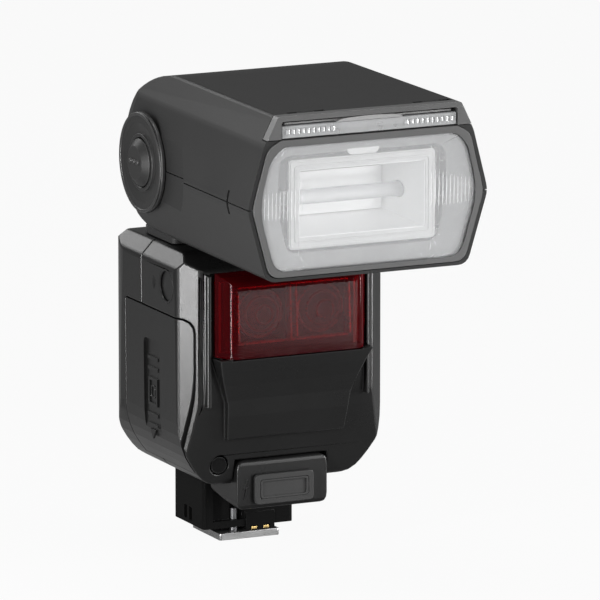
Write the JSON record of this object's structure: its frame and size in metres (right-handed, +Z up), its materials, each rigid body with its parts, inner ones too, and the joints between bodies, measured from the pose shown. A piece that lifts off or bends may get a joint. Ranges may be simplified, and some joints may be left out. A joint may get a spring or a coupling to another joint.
{
  "type": "speedlight flash",
  "caption": "Shoe-mounted speedlight flash with a turning and tilting zoom head, pull-out card and wide panel, side battery door and rear controls.",
  "frame": {"origin": "middle of the shoe foot's underside", "axes": "+Z up, the lamp and lens face -Y, +X is to the right seen from the front"},
  "size_m": [0.0733, 0.1044, 0.137],
  "materials": {
    "shell_black": "satin black moulded plastic, finely textured",
    "head_black": "satin charcoal moulded plastic, finely textured",
    "bezel_grey": "satin dark grey moulded plastic",
    "lens_clear": "clear moulded plastic with fine Fresnel grooves",
    "window_red": "deep red transparent plastic, polished",
    "white_plastic": "white, slightly glossy",
    "inner_black": "black moulded plastic",
    "display_glass": "dark display window, polished",
    "cap_rubber": "matt black rubber",
    "board_green": "printed circuit board",
    "cell_wrap": "wrapped metal can",
    "contact_gold": "gold-plated contact",
    "bare_steel": "bright plated steel"
  },
  "bodies": {
    "body": {"body_front_shell": "shell_black", "body_rear_shell": "shell_black", "red_window": "window_red", "lamp_frame": "inner_black", "focus_lamp_left": "lens_clear", "focus_lamp_right": "lens_clear", "light_sensor": "inner_black", "remote_sensor": "inner_black", "power_terminal": "shell_black", "power_socket": "contact_gold", "battery_bay": "inner_black", "cell_1": "cell_wrap", "cell_2": "cell_wrap", "cell_3": "cell_wrap", "cell_4": "cell_wrap", "bay_contact": "bare_steel", "flash_capacitor": "cell_wrap", "main_board": "board_green", "lcd_panel": "display_glass", "foot_block": "shell_black", "shoe_foot": "bare_steel", "contact_left": "contact_gold", "contact_right": "contact_gold"},
    "swivel": {"swivel_yoke": "head_black", "swivel_retainer": "bare_steel", "tilt_axle": "bare_steel"},
    "head": {"head_upper_shell": "head_black", "head_lower_shell": "head_black", "front_bezel_upper": "bezel_grey", "front_bezel_lower": "bezel_grey", "fresnel_lens": "lens_clear", "hub_cap_left": "head_black", "hub_cap_right": "head_black", "pivot_plate_left": "bare_steel", "pivot_plate_right": "bare_steel", "zoom_frame": "inner_black", "guide_rod_left": "bare_steel", "guide_rod_right": "bare_steel", "zoom_motor": "bare_steel", "fan_frame": "inner_black"},
    "tilt_release": {"tilt_release_button": "head_black"},
    "diffuser": {"wide_panel": "lens_clear"},
    "card": {"bounce_card": "white_plastic"},
    "zoom": {"reflector": "white_plastic", "flash_tube": "lens_clear", "zoom_carriage": "inner_black"},
    "screw": {"zoom_screw": "bare_steel"},
    "fan": {"fan_rotor": "inner_black"},
    "door_bar": {"door_slide_bar": "bare_steel"},
    "door": {"battery_door": "shell_black", "door_contact": "bare_steel"},
    "cap": {"terminal_cap": "cap_rubber"},
    "menu": {"menu_key": "shell_black"},
    "info": {"info_key": "shell_black"},
    "test": {"test_key": "shell_black"},
    "ok": {"ok_key": "shell_black"},
    "dial": {"selector_dial": "inner_black"},
    "switch": {"power_switch": "shell_black"},
    "lever": {"lock_lever": "shell_black"},
    "pin": {"lock_pin": "bare_steel"}
  },
  "joints": [
    {"name": "head_pan", "type": "hinge", "parent": "body", "child": "swivel", "pos_m": [0, -0.0118, 0.088], "axis": [0, 0, 1], "range_deg": [-180, 180]},
    {"name": "head_tilt", "type": "hinge", "parent": "swivel", "child": "head", "pos_m": [0, -0.0118, 0.1118], "axis": [-1, 0, 0], "range_deg": [-7, 90]},
    {"name": "tilt_release_press", "type": "slide", "parent": "head", "child": "tilt_release", "axis": [1, 0, 0], "range_m": [0, 0.0009], "stiffness_N_per_m": 300},
    {"name": "wide_panel_slide", "type": "slide", "parent": "head", "child": "diffuser", "axis": [0, -1, 0], "range_m": [0, 0.034]},
    {"name": "bounce_card_slide", "type": "slide", "parent": "head", "child": "card", "axis": [0, -1, 0], "range_m": [0, 0.036]},
    {"name": "zoom_slide", "type": "slide", "parent": "head", "child": "zoom", "axis": [0, 1, 0], "range_m": [0, 0.02]},
    {"name": "zoom_screw_turn", "type": "hinge", "parent": "head", "child": "screw", "pos_m": [-0.024, -0.05, 0.121], "axis": [0, 1, 0], "range_deg": [0, 1801]},
    {"name": "fan_turn", "type": "hinge", "parent": "head", "child": "fan", "pos_m": [0.0215, -0.0325, 0.112], "axis": [0, 1, 0], "continuous": true},
    {"name": "door_slide", "type": "slide", "parent": "body", "child": "door_bar", "axis": [0, 0, -1], "range_m": [0, 0.0025]},
    {"name": "door_swing", "type": "hinge", "parent": "door_bar", "child": "door", "pos_m": [-0.03215, 0.00535, 0.046], "axis": [0, 0, -1], "range_deg": [0, 105]},
    {"name": "terminal_cap_swing", "type": "hinge", "parent": "body", "child": "cap", "pos_m": [0.00925, -0.0315, 0.0196], "axis": [0, 0, 1], "range_deg": [0, 90]},
    {"name": "menu_press", "type": "slide", "parent": "body", "child": "menu", "axis": [0, -1, 0], "range_m": [0, 0.0006], "stiffness_N_per_m": 300},
    {"name": "info_press", "type": "slide", "parent": "body", "child": "info", "axis": [0, -1, 0], "range_m": [0, 0.0006], "stiffness_N_per_m": 300},
    {"name": "test_press", "type": "slide", "parent": "body", "child": "test", "axis": [0, -1, 0], "range_m": [0, 0.0006], "stiffness_N_per_m": 300},
    {"name": "ok_press", "type": "slide", "parent": "body", "child": "ok", "axis": [0, -1, 0], "range_m": [0, 0.0006], "stiffness_N_per_m": 300},
    {"name": "dial_turn", "type": "hinge", "parent": "body", "child": "dial", "pos_m": [0, 0.015, 0.036], "axis": [0, 1, 0], "continuous": true},
    {"name": "power_switch_turn", "type": "hinge", "parent": "body", "child": "switch", "pos_m": [0.02, 0.015, 0.031], "axis": [0, 1, 0], "range_deg": [0, 50]},
    {"name": "lock_lever_swing", "type": "hinge", "parent": "body", "child": "lever", "pos_m": [0.004, 0.005, 0.011], "axis": [0, 0, 1], "range_deg": [0, 60]},
    {"name": "lock_pin_drop", "type": "slide", "parent": "body", "child": "pin", "axis": [0, 0, -1], "range_m": [0, 0.0015]}
  ],
  "couplings": [
    {"joint": "zoom_screw_turn", "follows": "zoom_slide", "rad_per_m": 1570.8},
    {"joint": "lock_pin_drop", "follows": "lock_lever_swing", "m_per_rad": 0.001432}
  ]
}
